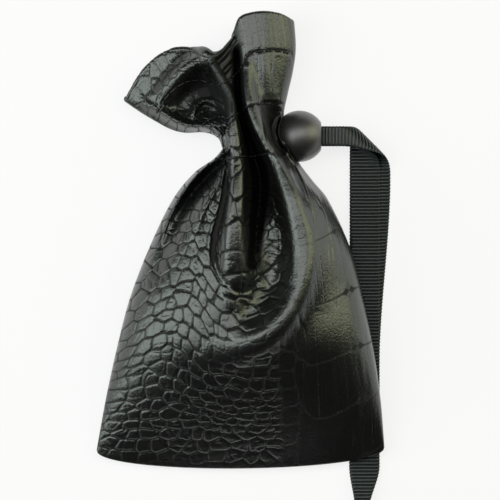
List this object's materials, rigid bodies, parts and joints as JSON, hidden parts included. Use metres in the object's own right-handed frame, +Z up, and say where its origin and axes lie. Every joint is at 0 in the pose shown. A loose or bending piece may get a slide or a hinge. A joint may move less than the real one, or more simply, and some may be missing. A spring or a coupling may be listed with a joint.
{
  "type": "drawstring dice bag",
  "caption": "Crocodile-embossed leather drawstring pouch lying on its back, drawn shut by a folded ribbon through a round toggle bead.",
  "frame": {"origin": "on the table, under the centre of the bag's own box (the ribbon's free strands left out)", "axes": "+Y from the base seam to the gathered mouth, +X to the side where the ribbon and bead leave the neck, +Z up out of the front panel"},
  "size_m": [0.0923, 0.178, 0.0287],
  "materials": {
    "leather": "crocodile-embossed, satin black",
    "tape": "woven cotton tape, matt black",
    "thread": "polyester sewing thread, black",
    "ribbon": "ribbed grosgrain, dull sheen, black with a green cast",
    "bead": "satin black lacquer"
  },
  "bodies": {
    "bag": {"front_panel": "leather", "back_panel": "leather", "casing_tape_front": "tape", "casing_tape_back": "tape", "hem_thread_front": "thread", "hem_thread_back": "thread", "casing_upper_thread_front": "thread", "casing_upper_thread_back": "thread", "casing_lower_thread_front": "thread", "casing_lower_thread_back": "thread", "side_seam_thread_left": "thread", "side_seam_thread_right_lower": "thread", "side_seam_thread_right_upper": "thread", "bottom_seam_thread": "thread", "drawstring_neck_loop": "ribbon", "drawstring_tail_inner": "ribbon", "drawstring_tail_outer": "ribbon", "end_knot": "ribbon", "tag_end_inner": "ribbon", "tag_end_outer": "ribbon"},
    "bead": {"toggle_bead": "bead"}
  },
  "joints": [
    {"name": "bead_slide", "type": "slide", "parent": "bag", "child": "bead", "axis": [1, 0, 0], "range_m": [0, 0.005]}
  ]
}
